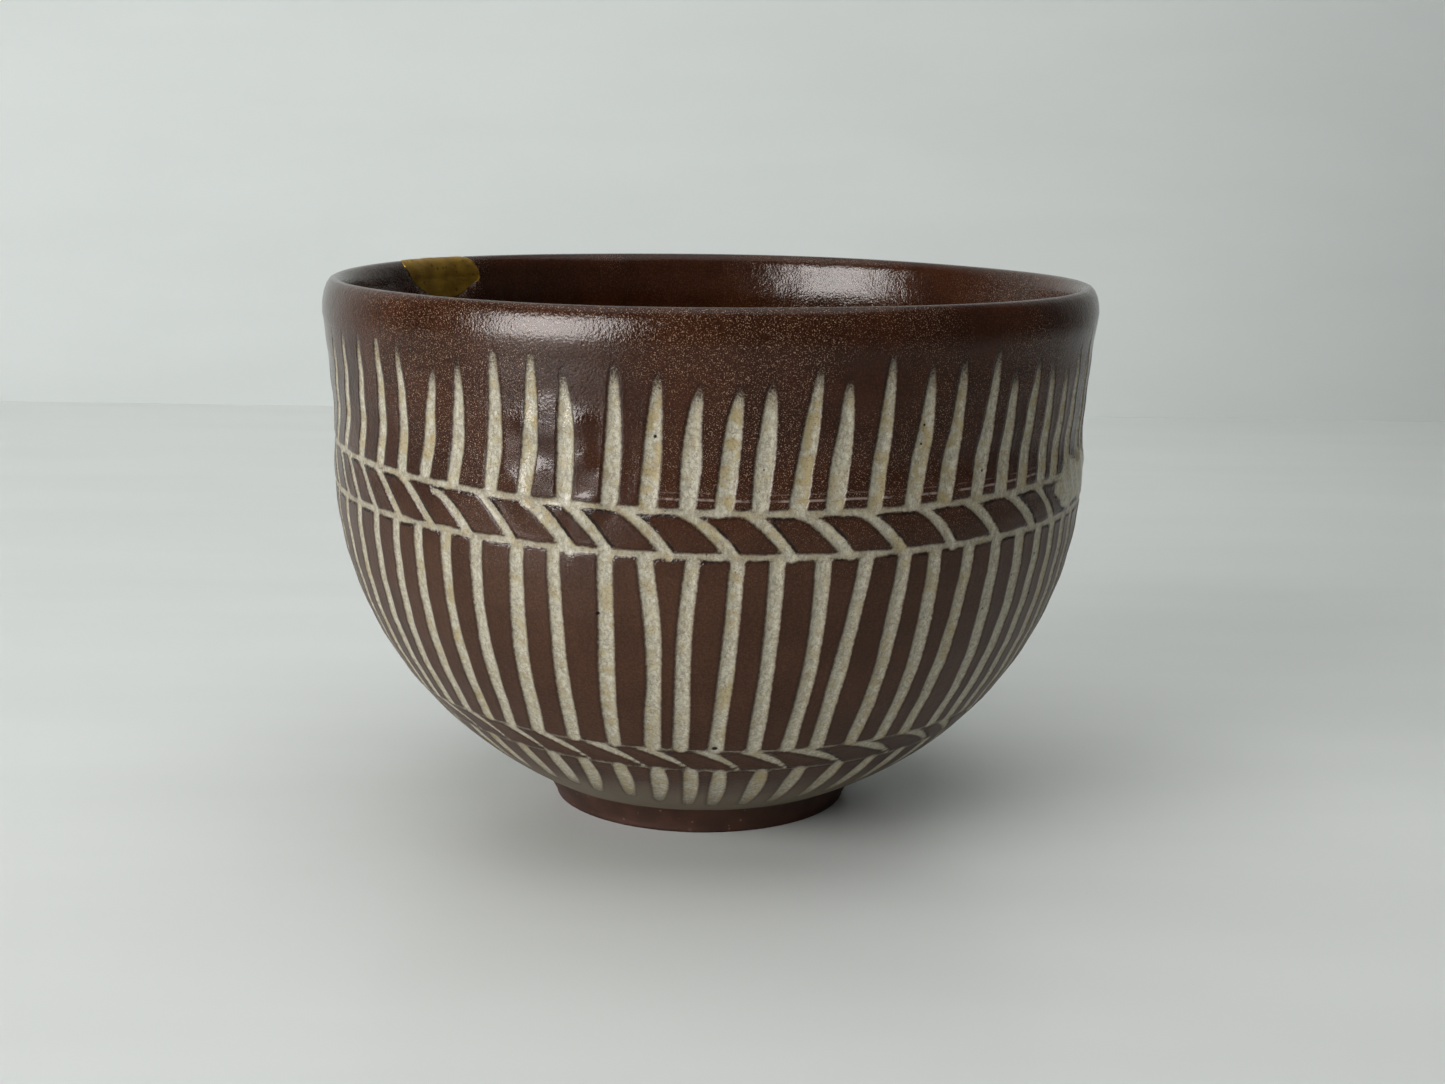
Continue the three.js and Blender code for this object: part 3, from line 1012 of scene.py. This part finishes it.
def makeGlazedStoneware():
    material, tree, shader = newMaterial("glazed_stoneware")
    where = millimetres(tree)
    height = put("SeparateXYZ", {0: where}).outputs[2]
    edge = noisy(attribute(tree, "slipEdge"), where, 0.5, 0.36, 3.0)
    left = ramp(noisy(attribute(tree, "slipCover"), where, 0.3, 1.1), 0.0, 0.9)
    slipMask = times(ramp(edge, -0.16, 0.2), left)
    filmLevel = noisy(height, where, 6.0, 4.0)
    filmMask = times(ramp(filmLevel, film["from"], film["full"]), attribute(tree, "outside"))
    # a dark line of painted shade along one side of the strokes and lines and round the lumps
    creviceShadeLine = times(ramp(apart(edge, -0.12), 0.28, 0.08), attribute(tree, "creviceShade"))
    creviceShadeLine = times(creviceShadeLine, ramp(cloud(where, 2.6), 0.4, 0.54))
    pit = pitMask(where)
    footLevel = noisy(height, where, 5.0, 0.9)
    bare = ramp(footLevel, bowl["footHeight"] + 0.26, bowl["footHeight"] + 0.08)

    colour = tint(glazeColour(where, height), glaze["film"], filmMask, film["onGlaze"])
    colour = tint(colour, glaze["poolAndShade"], ramp(edge, -0.6, -0.15), 0.3)
    colour = blend(scoredLines(tree, where), colour, glaze["scored"])
    colour = blend(slipMask, colour, slipColour(where, attribute(tree, "slipTone"), edge))
    colour = blend(creviceShadeLine, colour, glaze["poolAndShade"])
    colour = blend(pit, colour, glaze["poolAndShade"])
    colour = tint(colour, glaze["film"], filmMask, film["onSlip"])
    colour = blend(bare, colour, clayColour(where))

    sheen = ramp(height, 36.0, 66.0, glaze["roughBelly"], glaze["roughRim"])
    rough = noisy(sheen, where, 4.0, 0.07)
    rough = plus(rough, times(slipMask, slip["rough"]))
    rough = plus(rough, times(filmMask, film["rough"]))
    rough = calc("MAXIMUM", rough, times(bare, clay["rough"]))
    pooled = ramp(distance(where, glazePool["centre"]), glazePool["outer"], glazePool["inner"])
    rough = calc("SUBTRACT", rough, times(pooled, glazePool["gloss"]))

    # the glaze swells more round the upper strokes, inside the upper wall and most where it ran together
    grain = times(cloud(where, 0.35), ramp(height, 58.0, 68.0, 0.035, 0.055))
    lively = ramp(apart(height, 61.0), 10.0, 4.0, glaze["swell"], glaze["swellInBand"])
    axis = stretched(where, (1.0, 1.0, 0.0))
    fromAxis = put("VectorMath", {0: axis}, operation="LENGTH").outputs["Value"]
    inside = times(ramp(fromAxis, 56.6, 55.6), ramp(height, 40.0, 60.0))
    lively = calc("MAXIMUM", lively, times(inside, glaze["swellInside"]))
    pooled = times(pooled, glazePool["depth"])
    pooled = times(cloud(where, glazePool["size"], 0.0), pooled)
    swell = plus(times(cloud(where, 3.0), lively), pooled)
    sunk = times(slipMask, -slip["depth"])
    cut = times(plus(creviceShadeLine, pit), -glaze["crackDepth"])
    normal = bumped(plus(plus(grain, swell), plus(sunk, cut)))
    join(shader, {"Base Color": colour, "Roughness": rough, "Normal": normal, "IOR": 1.5,
                  "Specular IOR Level": glaze["shine"], "Specular Tint": glaze["shineTint"]})
    return material


gold = {
    "light": (0.36, 0.21, 0.018, 1),
    "dark": (0.20, 0.108, 0.006, 1),
    "lacquerBrown": (0.05, 0.022, 0.008, 1),
    "metallic": 0.55,
}


def makeGoldLacquer():
    # gold powder, cloudy and brushed, with brown lacquer showing through in specks
    material, tree, shader = newMaterial("gold_lacquer")
    where = millimetres(tree)
    patches = mottle(where, 3.5, 0.25)
    colour = blend(patches["Cloud"], gold["dark"], gold["light"])
    colour = tint(colour, gold["lacquerBrown"], specks(where, 0.9, 0.35, 0.35), 0.6)
    rough = ramp(patches["Grain"], 0.0, 1.0, 0.36, 0.55)
    brushed = times(cloud(stretched(where, (1.0, 1.0, 4.0)), 1.2), 0.05)
    normal = bumped(plus(brushed, times(patches["Grain"], 0.012)))
    join(shader, {"Base Color": colour, "Roughness": rough, "Normal": normal,
                  "Metallic": gold["metallic"]})
    return material


glazedBowl = makeBowl()
glazedBowl.data.materials.append(makeGlazedStoneware())
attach(glazedBowl, "root")
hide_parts("bowl_body")

lacquerFill = makeLacquer()
lacquerFill.data.materials.append(makeGoldLacquer())
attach(lacquerFill, "root")
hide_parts("gold_lacquer_fill")
print("bowl and lacquer made")

# the studio: a pale table in front of a pale wall
studio = {
    "wallDistance": 440.0,
    "tableHalfWidth": 1800.0,
    "tableFront": -1800.0,
    "wallTop": 1600.0,
    "table": (0.72, 0.74, 0.72, 1),
    "tableRough": 0.3,
    "wall": (0.685, 0.715, 0.70, 1),
    "wallRough": 0.8,
    "shine": 0.15,
    "cloudShade": 0.965,
    "surround": (0.62, 0.64, 0.63, 1),
    "surroundPower": 0.18,
    "shadeFrom": 60.0,    # painted shade: towards the right both grow darker, as if away from the window
    "shadeTo": 900.0,
    "shade": 0.35,
}


def makeSheet(name, corners, material):
    mesh = bpy.data.meshes.new(name)
    mesh.from_pydata((np.array(corners) / metre).tolist(), [], [(0, 1, 2, 3)])
    mesh.materials.append(material)
    sheet = newObject(name, mesh)


def makePaint(name, base, roughness):
    # pale paint with faint slow clouds, and painted shade that darkens it towards the right
    material, tree, shader = newMaterial(name)
    where = millimetres(tree)
    patches = mottle(stretched(where, (0.25, 1.0, 1.0)), 30.0, 2.0)
    darker = tuple(studio["cloudShade"] * c for c in base[:3]) + (1,)
    colour = blend(patches["Cloud"], darker, base)
    across = put("SeparateXYZ", {0: where}).outputs[0]
    shade = ramp(across, studio["shadeFrom"], studio["shadeTo"], 1.0, studio["shade"])
    join(shader, {"Base Color": blend(1.0, colour, shade, "MULTIPLY"),
                  "Roughness": roughness, "Specular IOR Level": studio["shine"]})
    return material


def makeStudio():
    side, back, front = studio["tableHalfWidth"], studio["wallDistance"], studio["tableFront"]
    top = studio["wallTop"]
    makeSheet("table", [(-side, front, 0), (side, front, 0), (side, back, 0), (-side, back, 0)],
              makePaint("table_paint", studio["table"], studio["tableRough"]))
    makeSheet("wall", [(-side, back, 0), (side, back, 0), (side, back, top), (-side, back, top)],
              makePaint("wall_paint", studio["wall"], studio["wallRough"]))


def aimed(place, back, roll=0.0):
    # the matrix of a lamp or camera with its back that way, upright and then rolled about its own axis
    turn = Vector(back).to_track_quat("Z", "Y").to_matrix() @ Matrix.Rotation(roll, 3, "Z")
    return Matrix.LocRotScale(Vector(place) / metre, turn, None)


def makeLamp(name, power, width, height, place, aim):
    light = bpy.data.lights.new(name, "AREA")
    light.shape = "RECTANGLE"
    light.energy = power
    light.size = width / metre
    light.size_y = height / metre
    lamp = newObject(name, light)
    lamp.matrix_world = aimed(place, Vector(place) - Vector(aim))
    return lamp


lamps = {  # power in watts, width, height, place and what it aims at
    "window": (8.4, 600.0, 600.0, (-672.0, -638.0, 330.0), (0.0, 0.0, 45.0)),
    "glint": (18.0, 600.0, 600.0, (-688.0, -653.0, 337.0), (0.0, 0.0, 45.0)),   # the window's shine only
    "ceiling": (6.5, 1300.0, 1000.0, (0.0, -70.0, 1150.0), (0.0, 0.0, 0.0)),
}


def makeLights():
    for name, settings in lamps.items():
        makeLamp(name, *settings).visible_diffuse = name != "glint"
    world = bpy.data.worlds.new("surround")
    bpy.context.scene.world = world
    world.use_nodes = True
    join(world.node_tree.nodes["Background"],
         {"Color": studio["surround"], "Strength": studio["surroundPower"]})


# the camera, where the photo was taken from
view = {
    "place": (0.0, -308.85, 102.48),
    "yaw": 0.4432,
    "pitch": 11.5246,
    "roll": 0.8733,
    "lens": 49.83,
    "sensor": 36.0,
    "nearest": 10.0,
}


def makeCamera():
    yaw, pitch, roll = (np.radians(view[name]) for name in ("yaw", "pitch", "roll"))
    back = (-np.sin(yaw) * np.cos(pitch), -np.cos(yaw) * np.cos(pitch), np.sin(pitch))
    camera = newObject("camera", bpy.data.cameras.new("camera"))
    camera.data.lens = view["lens"]
    camera.data.sensor_width = view["sensor"]
    camera.data.clip_start = view["nearest"] / metre
    camera.matrix_world = aimed(view["place"], back, roll)
    bpy.context.scene.camera = camera


makeStudio()
makeLights()
makeCamera()
bpy.context.scene.view_settings.view_transform = "Standard"
print("studio ready")
